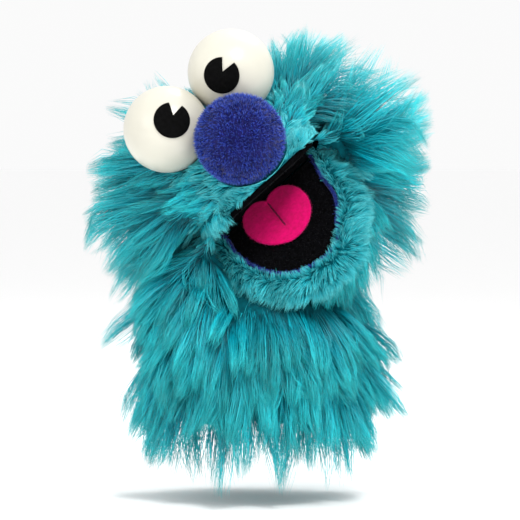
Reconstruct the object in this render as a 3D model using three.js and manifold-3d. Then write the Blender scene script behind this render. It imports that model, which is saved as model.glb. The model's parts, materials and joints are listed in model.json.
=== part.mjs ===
// A moving mouth hand puppet of long-pile faux fur: sleeve, neck, head and jaw as separate sewn
// and glued pieces. Millimetres, +Z up, the front looks along -Y. The origin is the middle of the
// hem, where the forearm goes in. The mouth's fold line, the nod and the tilt share one centre.
import * as THREE from 'three';
import { mergeVertices } from 'three/addons/utils/BufferGeometryUtils.js';
import Module from 'manifold-3d';

const wasm = await Module();
wasm.setup();

// Driving dimensions
const HEAD_CENTRE = new THREE.Vector3(2, 0, 102); // the middle of the mouth fold
const HEAD_TILT_DEG = -42; // sideways lean of the head as it is posed
const HEAD_TURN_DEG = 12; // the face looks a little to one side
const MOUTH_OPEN_DEG = 50; // between the two mouth boards as posed
const GAP = 0.4; // air between neighbouring pieces

const ARM_RADIUS = 39; // clear room for a forearm
const ARM_ROOM_TOP = 88; // up to here the neck and head leave room for it
const CLOTH = 2; // knitted backing of the fur
const SLEEVE_PILE = 13;
const HEM_PILE_DROP = 28; // locks that hang below the hem
const HEM_HEIGHT = 14;
const NECK_REACH = 76.5; // everything above the sleeve stays inside this ball
const JAW_REACH = 63.6; // and the jaw stays inside this one
const NECK_BACKING = 45; // the cloth behind the neck is a strip of this ball
const JAW_ROOM = 52; // the throat is open this far round the way that the jaw comes down
const JAW_ROOM_SLOPE = 0.36;

const SKIN = [46, 46, 35]; // half sizes of the hollow inside the head
const HEAD_FUR = [74.5, 62, 68]; // half sizes over the pile
const HEAD_FUR_BACK = 10; // the fur's middle lies this far behind the fold
const HEAD_RIM = -22; // the head's fur ends this far under the fold
const CROWN_SEAM = 26; // the crown panels are sewn to the cheeks and the back at this height
const BACK_SEAM = 20; // and the cheeks to the back this far behind the fold

const MOUTH_WIDE = 29; // half width of the mouth boards at the fold
const MOUTH_DEEP = 50; // from the fold to the front edge
const BOARD = 1.2;
const FELT = 1.2;
const FOLD_SPACE = 1.4; // half the room between the felts when shut
const FOLD_BACK = 2.6; // the boards start this far in front of the fold line
const UPPER_LIP = 4;
const LOWER_LIP = 5;
const TRIM = 2;

const EYE_RADIUS = 20;
const EYE_WALL = 1.2;
const EYE_MIDDLE = [2.5, -26, 51.7];
const EYE_HALF_SPAN = 20.2;
const PUPIL_RADIUS = 8.2;
const PUPIL_THICK = 0.6;
const PUPIL_CUT_DEG = 42.84; // the slice missing from each pupil
const NOSE_RADIUS = 21;
const NOSE_AT = [-1, -53.5, 25.8];
const NOSE_CLOTH = 1.8;
const NOSE_MOUTH = 9; // the opening behind the cover, where the foam goes in
const NOSE_DISC = 8; // the felt disc that the nose is glued by

const rad = THREE.MathUtils.degToRad;

// Solids: three.js geometry in and out of manifold-3d
function solid(geometry) {
  const bare = geometry.index ? geometry.toNonIndexed() : geometry.clone();
  bare.deleteAttribute('normal');
  bare.deleteAttribute('uv');
  const merged = mergeVertices(bare, 1e-4);
  return new wasm.Manifold(new wasm.Mesh({
    numProp: 3,
    vertProperties: new Float32Array(merged.attributes.position.array),
    triVerts: new Uint32Array(merged.index.array),
  }));
}

function geometryOf(body) {
  const largest = body.decompose().sort((a, b) => b.volume() - a.volume())[0];
  const mesh = largest.getMesh();
  const geometry = new THREE.BufferGeometry();
  geometry.setAttribute('position', new THREE.BufferAttribute(mesh.vertProperties, 3));
  geometry.setIndex(new THREE.BufferAttribute(mesh.triVerts, 1));
  geometry.computeVertexNormals();
  return geometry;
}

function ellipsoid(halves, centre = [0, 0, 0], around = 36, high = 20) {
  const geometry = new THREE.SphereGeometry(1, around, high);
  geometry.rotateX(Math.PI / 2);
  geometry.scale(...halves);
  geometry.translate(...centre);
  return solid(geometry);
}

const ball = (radius, centre, around = 26, high = 16) =>
  ellipsoid([radius, radius, radius], centre, around, high);

function box(low, high) {
  const size = high.map((value, k) => value - low[k]);
  const geometry = new THREE.BoxGeometry(...size);
  geometry.translate(...low.map((value, k) => value + size[k] / 2));
  return solid(geometry);
}

const BIG = 200;

// A cylinder from one point to another
function rod(radius, from, to, around = 32, radius2 = radius) {
  const a = new THREE.Vector3(...from);
  const b = new THREE.Vector3(...to);
  const geometry = new THREE.CylinderGeometry(radius2, radius, a.distanceTo(b), around);
  const turn = new THREE.Quaternion().setFromUnitVectors(
    new THREE.Vector3(0, 1, 0), b.clone().sub(a).normalize());
  geometry.applyQuaternion(turn);
  geometry.translate(...a.clone().add(b).multiplyScalar(0.5).toArray());
  return solid(geometry);
}

// The mouth board's outline: a rounded D with its straight side along the fold
function mouthOutline(grow = 0, fold = FOLD_BACK) {
  const wide = MOUTH_WIDE + grow;
  const deep = MOUTH_DEEP + grow;
  const shape = new THREE.Shape();
  shape.moveTo(wide, -fold);
  shape.lineTo(wide, -deep * 0.38);
  shape.bezierCurveTo(wide, -deep * 0.78, wide * 0.62, -deep, 0, -deep);
  shape.bezierCurveTo(-wide * 0.62, -deep, -wide, -deep * 0.78, -wide, -deep * 0.38);
  shape.lineTo(-wide, -fold);
  shape.closePath();
  return shape;
}

function slab(shape, bottom, top, curveSegments = 12) {
  const options = { depth: top - bottom, bevelEnabled: false, curveSegments };
  const geometry = new THREE.ExtrudeGeometry(shape, options);
  geometry.translate(0, 0, bottom);
  return geometry;
}

// A round bead that follows the mouth's edge, from corner to corner
function bead(radius, grow, height, sides = 4) {
  const edge = mouthOutline(grow, 1.5).getPoints(9).slice(0, -1);
  const path = new THREE.CatmullRomCurve3(edge.map((p) => new THREE.Vector3(p.x, p.y, height)));
  const section = new THREE.Shape();
  section.absarc(0, 0, radius, 0, Math.PI * 2);
  const geometry = new THREE.ExtrudeGeometry(section, {
    steps: 24, extrudePath: path, bevelEnabled: false, curveSegments: sides,
  });
  return solid(geometry);
}

// A thin ribbon bent into a low arch over a board: half width, height, start and end along Y
function strapArch(half, height, nearY, farY, thick, side) {
  const outline = new THREE.Shape();
  const foot = 5;
  outline.moveTo(-half - foot, 0);
  outline.lineTo(-half, 0);
  outline.quadraticCurveTo(-half + 2, height * 1.05, 0, height);
  outline.quadraticCurveTo(half - 2, height * 1.05, half, 0);
  outline.lineTo(half + foot, 0);
  outline.lineTo(half + foot, thick);
  outline.lineTo(half + thick, thick);
  outline.quadraticCurveTo(half - 1, (height + thick) * 1.06, 0, height + thick);
  outline.quadraticCurveTo(-half + 1, (height + thick) * 1.06, -half - thick, thick);
  outline.lineTo(-half - foot, thick);
  outline.closePath();
  const options = { depth: farY - nearY, bevelEnabled: false, curveSegments: 8 };
  const geometry = new THREE.ExtrudeGeometry(outline, options);
  geometry.rotateX(side > 0 ? Math.PI / 2 : -Math.PI / 2);
  geometry.translate(0, side > 0 ? farY : nearY, 0);
  return geometry;
}

const FUR = { color: 0x14a3ad, roughness: 0.7, metalness: 0 };
const SHORT_FUR = { color: 0x3fc0c8, roughness: 0.8, metalness: 0 };
const BLACK_FELT = { color: 0x08080a, roughness: 0.95, metalness: 0 };
const BACKING = { color: 0x2f7f86, roughness: 0.9, metalness: 0 };
const BOARD_CARD = { color: 0x8d8577, roughness: 0.85, metalness: 0 };
const FOAM = { color: 0xd9d4c4, roughness: 0.95, metalness: 0 };
const ELASTIC = { color: 0x1c1c20, roughness: 0.8, metalness: 0 };
const IVORY = { color: 0xf1eee2, roughness: 0.35, metalness: 0 };
const PUPIL = { color: 0x050505, roughness: 0.5, metalness: 0 };
const BLUE_PILE = { color: 0x2b35a8, roughness: 0.9, metalness: 0 };
const TONGUE = { color: 0xe0006a, roughness: 0.9, metalness: 0 };

function add(parent, name, shape, look) {
  const geometry = shape.isBufferGeometry ? shape : geometryOf(shape);
  const mesh = new THREE.Mesh(geometry, new THREE.MeshStandardMaterial(look));
  mesh.name = name;
  parent.add(mesh);
}

// The sleeve: fur halves, their knitted backing, the turned hem and the side seams
function makeSleeve(sleeve) {
  const backing = ARM_RADIUS + CLOTH + GAP;
  const pile = backing + CLOTH + GAP;
  const roomAbove = ball(NECK_REACH + 0.5, HEAD_CENTRE.toArray(), 48, 28);
  const top = HEAD_CENTRE.z - 40;
  const hairs = rod(pile + SLEEVE_PILE - 3, [0, 0, -HEM_PILE_DROP], [0, 0, top], 40, pile + SLEEVE_PILE)
    .subtract(rod(pile, [0, 0, -BIG], [0, 0, BIG], 40))
    .subtract(roomAbove);
  add(sleeve, 'fur_sleeve_front', hairs.intersect(box([-BIG, -BIG, -BIG], [BIG, -GAP / 2, BIG])), FUR);
  add(sleeve, 'fur_sleeve_back', hairs.intersect(box([-BIG, GAP / 2, -BIG], [BIG, BIG, BIG])), FUR);
  add(sleeve, 'sleeve_backing', rod(backing + CLOTH, [0, 0, 0], [0, 0, top], 40)
    .subtract(rod(backing, [0, 0, -BIG], [0, 0, BIG], 40))
    .subtract(roomAbove), BACKING);
  add(sleeve, 'hem_band', rod(ARM_RADIUS + CLOTH, [0, 0, 0], [0, 0, HEM_HEIGHT], 40)
    .subtract(rod(ARM_RADIUS, [0, 0, -BIG], [0, 0, BIG], 40)), BACKING);
  const seam = 2.5;
  const seamTop = HEM_HEIGHT + 22;
  for (const [name, side] of [['side_seam_left', -1], ['side_seam_right', 1]]) {
    const outer = ARM_RADIUS + CLOTH - 0.2;
    const x = [side * (outer - 1.2), side * outer].sort((a, b) => a - b);
    add(sleeve, name, box([x[0], -seam, HEM_HEIGHT + GAP], [x[1], seam, seamTop]), BACKING);
  }
}

// Room for the forearm where it comes up through the neck
const armRoom = () => rod(ARM_RADIUS + 1, [0, 0, -BIG], [0, 0, ARM_ROOM_TOP], 36);

// The neck: the fur of throat and nape, which stretches as the head nods, and its backing
function makeNeck(neck, headFrame) {
  const toWorld = (body) => body.transform(headFrame.elements);
  const headSide = toWorld(box([-BIG, -BIG, HEAD_RIM - GAP], [BIG, BIG, BIG]));
  const jawRoom = toWorld(rod(JAW_ROOM, [0, 0, 0], [0, -BIG, -BIG * JAW_ROOM_SLOPE], 28));
  const shell = ball(NECK_REACH, HEAD_CENTRE.toArray(), 36, 22)
    .subtract(ball(JAW_REACH, HEAD_CENTRE.toArray(), 32, 18))
    .intersect(rod(NECK_REACH - 4, [2, 0, 0], [2, 0, 120], 36))
    .subtract(rod(ARM_RADIUS + 5, [0, 0, -BIG], [0, 0, BIG], 36))
    .subtract(headSide)
    .subtract(jawRoom);
  add(neck, 'fur_throat', shell.intersect(box([-BIG, -BIG, -BIG], [BIG, -GAP / 2, BIG])), FUR);
  add(neck, 'fur_nape', shell.intersect(box([-BIG, GAP / 2, -BIG], [BIG, BIG, BIG])), FUR);
  const belt = ball(NECK_BACKING, [0, 0, 0], 32, 24)
    .subtract(ball(NECK_BACKING - CLOTH, [0, 0, 0], 32, 24))
    .intersect(box([-BIG, 12, -24], [BIG, BIG, -5]));
  add(neck, 'neck_backing', toWorld(belt).subtract(armRoom()), BACKING);
}

const eyeAt = (side) => [EYE_MIDDLE[0] + side * EYE_HALF_SPAN, EYE_MIDDLE[1], EYE_MIDDLE[2]];

// A point behind the nose's middle, towards the head
function noseBack(distance) {
  const inward = new THREE.Vector3(0, 1, -0.12).normalize();
  return new THREE.Vector3(...NOSE_AT).addScaledVector(inward, distance).toArray();
}

// What the fur of the face is trimmed away for: the eyes, the nose and the room in front of them
function faceTrim() {
  let trim = ball(NOSE_RADIUS + GAP, NOSE_AT);
  trim = trim.add(rod(NOSE_DISC + GAP, noseBack(10), noseBack(NOSE_RADIUS + 1), 20));
  trim = trim.add(rod(NOSE_RADIUS + GAP, NOSE_AT, [NOSE_AT[0], -BIG, NOSE_AT[2]]));
  for (const side of [-1, 1]) {
    const eye = eyeAt(side);
    trim = trim.add(ball(EYE_RADIUS + 2, eye));
    trim = trim.add(rod(EYE_RADIUS + 2, eye, [eye[0], -BIG, eye[2] + 60]));
  }
  return trim;
}

function makeEye(head, name, side, pupilShift) {
  const centre = eyeAt(side);
  const middle = new THREE.Vector3(...centre);
  const inward = middle.clone().multiplyScalar(-1).normalize();
  const at = (distance) => middle.clone().addScaledVector(inward, distance).toArray();
  add(head, `eye_ball_${name}`, ball(EYE_RADIUS, centre, 26, 16)
    .subtract(ball(EYE_RADIUS - EYE_WALL, centre, 16, 10))
    .subtract(rod(3, at(EYE_RADIUS - 4), at(EYE_RADIUS + 4), 12)), IVORY);
  add(head, `eye_seat_${name}`, ball(EYE_RADIUS + 1.6, centre)
    .subtract(ball(EYE_RADIUS + GAP, centre))
    .intersect(rod(8.5, at(10), at(26), 20)), FOAM);
  // A thin disc with a pie cut, bent onto the front of the ball
  const face = new THREE.Vector3(pupilShift[0], -1, pupilShift[1]).normalize();
  const cut = rad(PUPIL_CUT_DEG);
  const lean = rad(pupilShift[2]);
  const disc = new THREE.Shape();
  const apex = 0.24 * PUPIL_RADIUS;
  disc.moveTo(Math.sin(lean) * apex, Math.cos(lean) * apex);
  for (let step = 0; step <= 28; step += 1) {
    const angle = lean + cut / 2 + (step / 28) * (Math.PI * 2 - cut);
    disc.lineTo(Math.sin(angle) * PUPIL_RADIUS, Math.cos(angle) * PUPIL_RADIUS);
  }
  disc.closePath();
  const plug = new THREE.ExtrudeGeometry(disc, { depth: EYE_RADIUS + 4, bevelEnabled: false });
  const frame = new THREE.Matrix4().lookAt(face, new THREE.Vector3(), new THREE.Vector3(0, 0, 1));
  plug.applyMatrix4(frame);
  plug.translate(...centre);
  add(head, `pupil_${name}`, ball(EYE_RADIUS + GAP + PUPIL_THICK, centre, 32, 20)
    .subtract(ball(EYE_RADIUS + GAP, centre, 32, 20))
    .intersect(solid(plug)), PUPIL);
}

function makeNose(head) {
  add(head, 'nose_cover', ball(NOSE_RADIUS, NOSE_AT, 30, 18)
    .subtract(ball(NOSE_RADIUS - NOSE_CLOTH, NOSE_AT, 20, 12))
    .subtract(rod(NOSE_MOUTH, noseBack(10), noseBack(30), 20)), BLUE_PILE);
  add(head, 'nose_core', ball(NOSE_RADIUS - NOSE_CLOTH - GAP - 0.6, NOSE_AT, 18, 10), FOAM);
  const disc = rod(NOSE_DISC, noseBack(NOSE_RADIUS - 1.3), noseBack(NOSE_RADIUS + 0.5), 20);
  add(head, 'nose_anchor_disc', disc, BLACK_FELT);
}

function makeHead(head, headFrame) {
  const trim = faceTrim();
  const slotTop = FOLD_SPACE + FELT + BOARD + 1;
  const mouthSlot = box([-MOUTH_WIDE - 14, -BIG, -BIG], [MOUTH_WIDE + 14, 8, slotTop]);
  const lipRoom = bead(UPPER_LIP + GAP, UPPER_LIP + 0.8, UPPER_LIP + 0.4);
  const cap = ellipsoid(HEAD_FUR, [0, HEAD_FUR_BACK, 0], 36, 20)
    .subtract(ellipsoid(SKIN, [0, 0, 0], 26, 14))
    .subtract(rod(SKIN[0] + 1, [0, 0, -BIG], [0, 0, -6], 32))
    .subtract(box([-BIG, -BIG, -BIG], [BIG, BIG, HEAD_RIM]))
    .subtract(mouthSlot)
    .subtract(box([-MOUTH_WIDE - 6, -BIG, 0], [MOUTH_WIDE + 6, -MOUTH_DEEP + 1, 11]))
    .subtract(lipRoom)
    .subtract(trim)
    .subtract(armRoom().transform(headFrame.clone().invert().elements));
  for (const [side, low, high] of [['left', -BIG, -GAP / 2], ['right', GAP / 2, BIG]]) {
    const panel = (from, to) => cap.intersect(box([low, ...from], [high, ...to]));
    add(head, `fur_crown_${side}`, panel([-BIG, CROWN_SEAM + GAP / 2], [BIG, BIG]), FUR);
    const under = CROWN_SEAM - GAP / 2;
    add(head, `fur_cheek_${side}`, panel([-BIG, -BIG], [BACK_SEAM - GAP / 2, under]), FUR);
    add(head, `fur_back_${side}`, panel([BACK_SEAM + GAP / 2, -BIG], [BIG, under]), FUR);
  }
  add(head, 'fur_upper_lip', bead(UPPER_LIP, UPPER_LIP + 0.8, UPPER_LIP + 0.4)
    .subtract(ball(NOSE_RADIUS + GAP, NOSE_AT)), SHORT_FUR);
  add(head, 'crown_foam', ellipsoid([SKIN[0] - 1, SKIN[1] - 1, SKIN[2] - 1], [0, 0, 0], 28, 16)
    .intersect(box([-30, -26, 25], [30, 30, BIG])), FOAM);
  const feltTop = FOLD_SPACE + FELT;
  add(head, 'mouth_felt_upper', slab(mouthOutline(), FOLD_SPACE, feltTop), BLACK_FELT);
  add(head, 'mouth_board_upper', slab(mouthOutline(-1), feltTop + GAP, feltTop + GAP + BOARD), BOARD_CARD);
  add(head, 'mouth_fold_felt', rod(2, [-MOUTH_WIDE + 1, 0, 0], [MOUTH_WIDE - 1, 0, 0], 14), BLACK_FELT);
  const strap = strapArch(21, 14, -27, -9, 1.4, 1);
  strap.translate(0, 0, feltTop + GAP + BOARD + GAP);
  add(head, 'finger_strap', strap, ELASTIC);
  makeEye(head, 'left', -1, [0.05, 0.063, 55.5]);
  makeEye(head, 'right', 1, [-0.47, 0.078, 65]);
  makeNose(head);
}

// The jaw, drawn shut: everything lies under the fold's level and is turned open with its group
function makeJaw(jaw) {
  const feltBottom = -FOLD_SPACE - FELT;
  const boardBottom = feltBottom - GAP - BOARD;
  add(jaw, 'mouth_felt_lower', slab(mouthOutline(), feltBottom, -FOLD_SPACE), BLACK_FELT);
  add(jaw, 'mouth_board_lower', slab(mouthOutline(-1), boardBottom, boardBottom + BOARD), BOARD_CARD);
  const rim = solid(slab(mouthOutline(GAP + TRIM), feltBottom - 1, -FOLD_SPACE + 0.6))
    .subtract(solid(slab(mouthOutline(GAP, -BIG), -BIG / 2, BIG / 2)));
  add(jaw, 'lip_trim_lower', rim, BLUE_PILE);
  const lipGrow = GAP + TRIM + GAP + LOWER_LIP;
  const lipLevel = -LOWER_LIP - 0.5;
  add(jaw, 'fur_lower_lip', bead(LOWER_LIP, lipGrow, lipLevel), SHORT_FUR);
  const chinWide = MOUTH_WIDE + 7;
  const chinDeep = MOUTH_DEEP + 7;
  const chinLow = 31;
  const skin = 5;
  // The rear edge slants, so that the open chin doesn't close the hand's way in
  const behindThumb = box([-BIG, 0, -BIG], [BIG, BIG, BIG])
    .rotate([-40, 0, 0])
    .translate([0, -8, boardBottom]);
  add(jaw, 'fur_chin', ellipsoid([chinWide, chinDeep, chinLow], [0, 0, 0], 36, 20)
    .subtract(ellipsoid([chinWide - skin, chinDeep - skin - 2, chinLow - skin], [0, 0, 0], 28, 16))
    .intersect(box([-BIG, -BIG, -BIG], [BIG, -8, boardBottom - GAP]))
    .subtract(behindThumb)
    .subtract(bead(LOWER_LIP + GAP, lipGrow, lipLevel)), SHORT_FUR);
  makeTongue(jaw);
  const strap = strapArch(13, 12, -26, -16, 1.4, -1);
  strap.translate(0, 0, boardBottom - GAP);
  add(jaw, 'thumb_strap', strap, ELASTIC);
}

// A heart-shaped felt tongue, its notch at the fold, glued a little askew, with a stitched crease
function makeTongue(jaw) {
  const wide = 16.4;
  const lobes = -3.4;
  const dip = lobes - 4;
  const broad = -15;
  const tip = -36;
  const shape = new THREE.Shape();
  shape.moveTo(0, dip);
  shape.bezierCurveTo(2.5, lobes, wide * 0.9, lobes + 2, wide, broad);
  shape.bezierCurveTo(wide * 1.08, broad - 12, wide * 0.5, tip, 0, tip);
  shape.bezierCurveTo(-wide * 0.5, tip, -wide * 1.08, broad - 12, -wide, broad);
  shape.bezierCurveTo(-wide * 0.9, lobes + 2, -2.5, lobes, 0, dip);
  const bottom = -FOLD_SPACE + 0.3;
  const thick = 1.3;
  const askew = [0, 0, -10];
  const groove = box([-0.7, -27, bottom + 0.7], [0.7, dip - 0.8, BIG]);
  add(jaw, 'tongue', solid(slab(shape, bottom, bottom + thick)).subtract(groove).rotate(askew), TONGUE);
  const thread = box([-0.35, -26.5, bottom + 0.9], [0.35, dip - 1.3, bottom + 1.2]);
  add(jaw, 'tongue_crease_thread', thread.rotate(askew), TONGUE);
}

const puppet = new THREE.Group();
const tilt = new THREE.Group();
tilt.position.copy(HEAD_CENTRE);
tilt.rotation.y = rad(HEAD_TILT_DEG);
const head = new THREE.Group();
head.rotation.z = rad(HEAD_TURN_DEG);
const jaw = new THREE.Group();
jaw.rotation.x = rad(MOUTH_OPEN_DEG);
puppet.add(tilt);
tilt.add(head);
head.add(jaw);
puppet.updateMatrixWorld(true);

makeSleeve(puppet);
makeNeck(puppet, head.matrixWorld);
makeHead(head, head.matrixWorld);
makeJaw(jaw);

export default puppet;
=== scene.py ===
"""A moving mouth hand puppet in long-pile faux fur.

Lengths are in millimetres until a mesh is made, where they become metres. The head has its own
axes: side (to the viewer's right), back and up, from the middle of the mouth's fold. The jaw's
axes are the head's, turned open about side.
"""
import json
import math

import bpy
import numpy as np
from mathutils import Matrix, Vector
from mathutils.kdtree import KDTree

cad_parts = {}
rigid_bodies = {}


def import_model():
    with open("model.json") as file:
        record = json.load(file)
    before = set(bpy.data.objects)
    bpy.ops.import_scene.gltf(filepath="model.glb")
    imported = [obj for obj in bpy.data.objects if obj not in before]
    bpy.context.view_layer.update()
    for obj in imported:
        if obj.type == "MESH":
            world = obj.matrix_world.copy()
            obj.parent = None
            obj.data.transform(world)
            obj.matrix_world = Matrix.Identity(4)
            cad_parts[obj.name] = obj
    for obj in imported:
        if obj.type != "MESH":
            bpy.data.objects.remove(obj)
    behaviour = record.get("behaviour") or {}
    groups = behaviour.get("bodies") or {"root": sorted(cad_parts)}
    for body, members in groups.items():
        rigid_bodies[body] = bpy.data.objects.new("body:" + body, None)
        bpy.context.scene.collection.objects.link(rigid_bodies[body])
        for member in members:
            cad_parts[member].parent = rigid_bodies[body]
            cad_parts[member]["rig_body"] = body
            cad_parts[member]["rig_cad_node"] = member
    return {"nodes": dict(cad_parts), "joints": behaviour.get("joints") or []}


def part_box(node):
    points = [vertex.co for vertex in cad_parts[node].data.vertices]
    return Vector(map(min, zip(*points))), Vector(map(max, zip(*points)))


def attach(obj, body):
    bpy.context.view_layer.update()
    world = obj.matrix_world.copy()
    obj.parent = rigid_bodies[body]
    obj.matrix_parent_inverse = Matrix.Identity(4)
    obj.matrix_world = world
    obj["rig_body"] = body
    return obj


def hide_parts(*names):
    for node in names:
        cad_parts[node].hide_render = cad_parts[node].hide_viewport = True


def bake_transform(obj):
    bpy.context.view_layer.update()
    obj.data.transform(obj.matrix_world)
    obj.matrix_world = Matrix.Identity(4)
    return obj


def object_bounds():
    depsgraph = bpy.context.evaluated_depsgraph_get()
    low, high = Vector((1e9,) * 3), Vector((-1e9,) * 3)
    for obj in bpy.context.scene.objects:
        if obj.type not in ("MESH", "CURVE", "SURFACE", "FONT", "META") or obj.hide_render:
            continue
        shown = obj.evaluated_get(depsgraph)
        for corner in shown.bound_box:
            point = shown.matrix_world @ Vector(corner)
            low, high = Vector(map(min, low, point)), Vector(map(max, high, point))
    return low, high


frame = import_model()
cad_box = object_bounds()

scene = bpy.context.scene
MM = 0.001
random = np.random.default_rng(20)
DOWN = np.array([0.0, 0.0, -1.0])  # in the row frame
ABOVE = np.array([0.0, 0.0, 1.0])  # in the head's or the jaw's axes

# The head's axes, from the joint that nods it
nod = next(j for j in frame["joints"] if j["name"] == "head_nod")
CENTRE = np.array(nod["pos_m"]) / MM
SIDE = np.array(nod["axis"])
UP = np.array([-SIDE[2], 0.0, SIDE[0]]) / math.hypot(SIDE[0], SIDE[2])
BACK = np.cross(UP, SIDE)
HEAD = np.stack([SIDE, BACK, UP])  # rows
MOUTH_OPEN = math.radians(50)
JAW = np.array([
    [1, 0, 0],
    [0, math.cos(MOUTH_OPEN), math.sin(MOUTH_OPEN)],
    [0, -math.sin(MOUTH_OPEN), math.cos(MOUTH_OPEN)],
]) @ HEAD

# Driving sizes
MOUTH_WIDE = 29.0  # half width of the mouth
MOUTH_DEEP = 50.0
FELT_LOW, FELT_HIGH = 1.4, 2.6  # the felts' faces, off the plane through the fold
LIP_LINE = 5.2  # the muzzle's fur starts this far above the fold
LIP_ROLL = 5.0
JAW_LEAN = 5.0  # the lower lip's right front lies this far in over the felt
JAW_HANG = 2.4  # and its left front hangs this far out
HEAD_SKIN = np.array([50.0, 49.0, 46.0])  # half sizes of the fur cloth over the head
HEAD_SKIN_BACK = 2.0  # its middle lies this far behind the fold
CHIN_SKIN = np.array([34.0, 53.0, 24.0])
CHIN_LOW = 3.6  # its rim lies this far below the fold
THROAT_SKIN = 41.0
SLEEVE = 43.8  # outside radius of the sleeve's cloth
SLEEVE_INSIDE = 40.2  # inside radius of its turned-up hem
SLEEVE_TOP = 78.0
HEM = 14.0
EYE_BALL = 20.0
PUPIL = 8.2
NOSE_BALL = 19.4
PILE = 46.0  # length of the long fur
SHORT_PILE = 6.5
PILE_WIDTH = 0.34
MOUTH_OVERHANG = 4.0  # how far a hair may reach over the felt
LIP_OVERHANG = 9.0
FUR_MARGIN = 9.2  # how far fur may pass the CAD's box, besides three per cent of its size

# Where pieces would bend, though here they are only baked in place: (body, body, start and end of the bend)
TILT = ("sleeve", "neck", (0, 0, 48), (0, 0, 98))


def unit(vectors):
    """Vectors of length one."""
    return vectors / np.maximum(np.linalg.norm(vectors, axis=-1, keepdims=True), 1e-9)


def smooth(value, low, high):
    """0 below low, 1 above high, and a soft step between."""
    t = np.clip((value - low) / (high - low), 0, 1)
    return t * t * (3 - 2 * t)


def to_world(points, axes):
    """From head or jaw axes to the row frame."""
    return CENTRE + points @ axes


def to_head(points):
    """From the row frame to the head's axes."""
    return (points - CENTRE) @ HEAD.T


def at_level(flat, level):
    """Flat points, all at one level."""
    return np.column_stack([flat, np.full(len(flat), level)])


def falling(out):
    """The way down along a surface whose outward normals are given."""
    return DOWN - (out @ DOWN)[:, None] * out


def ripple(points, size, seed):
    """A smooth noise from -1 to 1 whose features are about size across."""
    waves = np.random.default_rng(seed)
    total = np.zeros(len(points))
    for _ in range(7):
        way = unit(waves.normal(size=3)) * waves.uniform(0.7, 1.5)
        total += np.sin(points @ way * (2 * math.pi / size / 1.6) + waves.uniform(0, 7))
    return np.clip(total / 3.5, -1, 1)


def circle(count):
    """Angles evenly round a circle."""
    return np.linspace(0, 2 * math.pi, count, endpoint=False)


def random_directions(count):
    """Directions spread evenly over a ball."""
    return unit(random.normal(size=(count, 3)))


def wobble(points, size, seed, reach):
    """Small uneven shifts in all three directions."""
    return reach * np.column_stack([ripple(points, size, seed + axis) for axis in range(3)])


NECK = ("neck", "head", to_world(np.array([0, 0, -45.0]), HEAD), to_world(np.array([0, 0, -12.0]), HEAD))
THROAT = ("head", "jaw", to_world(np.array([0, 18.0, -42]), HEAD), to_world(np.array([0, -30.0, -38]), HEAD))


# Materials

def put(node, **values):
    """Sets a shader node's inputs. Underscores in the names stand for spaces."""
    for name, value in values.items():
        node.inputs[name.replace("_", " ")].default_value = value


def shader(name, roughness, specular=0.5, sheen=0.0):
    """A new material, its node tree and its shader node."""
    material = bpy.data.materials.new(name)
    material.use_nodes = True
    tree = material.node_tree
    surface = tree.nodes["Principled BSDF"]
    put(surface, Roughness=roughness, Specular_IOR_Level=specular, Sheen_Weight=sheen)
    return material, tree, surface


def ramp(tree, factor, stops):
    """A colour ramp fed by factor. Stops are (place, colour)."""
    node = tree.nodes.new("ShaderNodeValToRGB")
    elements = node.color_ramp.elements
    while len(elements) < len(stops):
        elements.new(0.5)
    for element, (place, colour) in zip(elements, stops):
        element.position = place
        element.color = (*colour, 1)
    tree.links.new(factor, node.inputs[0])
    return node.outputs["Color"]


def noise(tree, scale, detail=3.0, stretch=(1, 1, 1)):
    """A noise in the object's own coordinates, scale per metre."""
    place = tree.nodes.new("ShaderNodeTexCoord")
    turn = tree.nodes.new("ShaderNodeMapping")
    put(turn, Scale=stretch)
    node = tree.nodes.new("ShaderNodeTexNoise")
    put(node, Scale=scale, Detail=detail)
    tree.links.new(place.outputs["Object"], turn.inputs["Vector"])
    tree.links.new(turn.outputs["Vector"], node.inputs["Vector"])
    return node.outputs["Fac"]


def bump(tree, surface, height, strength, distance):
    """Raises the surface by a pattern."""
    node = tree.nodes.new("ShaderNodeBump")
    put(node, Strength=strength, Distance=distance)
    tree.links.new(height, node.inputs["Height"])
    tree.links.new(node.outputs["Normal"], surface.inputs["Normal"])


def hair_material(name, root, middle, tip, roughness, specular, spread):
    """Fibres: the colour runs from root to tip along v, its dark roots painted shade deep in the pile, and
    each fibre's own shade lies along u.
    """
    material, tree, surface = shader(name, roughness, specular)
    place = tree.nodes.new("ShaderNodeUVMap")
    place.uv_map = "OFBake"
    parts = tree.nodes.new("ShaderNodeSeparateXYZ")
    tree.links.new(place.outputs["UV"], parts.inputs[0])
    # The root's colour is darkened as painted shade deep in the pile
    along = ramp(tree, parts.outputs["Y"], [(0.0, root), (0.35, middle), (1.0, tip)])
    shade = ramp(tree, parts.outputs["X"], [(0.0, (1 - spread,) * 3), (1.0, (1.0,) * 3)])
    mix = tree.nodes.new("ShaderNodeMix")
    mix.data_type = "RGBA"
    mix.blend_type = "MULTIPLY"
    put(mix, Factor=1.0)
    tree.links.new(along, mix.inputs["A"])
    tree.links.new(shade, mix.inputs["B"])
    tree.links.new(mix.outputs["Result"], surface.inputs["Base Color"])
    return material


def cloth_material(name, dark, light, grain, roughness=0.9, sheen=0.3, depth=0.0003,
                   specular=0.08, stretch=(1, 1, 1)):
    """Felt, knit, foam or card: a mottled colour and a fine raised grain."""
    material, tree, surface = shader(name, roughness, specular, sheen)
    mottle = noise(tree, grain * 0.4, 5.0, stretch)
    colour = ramp(tree, mottle, [(0.3, dark), (0.7, light)])
    tree.links.new(colour, surface.inputs["Base Color"])
    bump(tree, surface, noise(tree, grain, 6.0, stretch), 0.6, depth)
    return material


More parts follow.
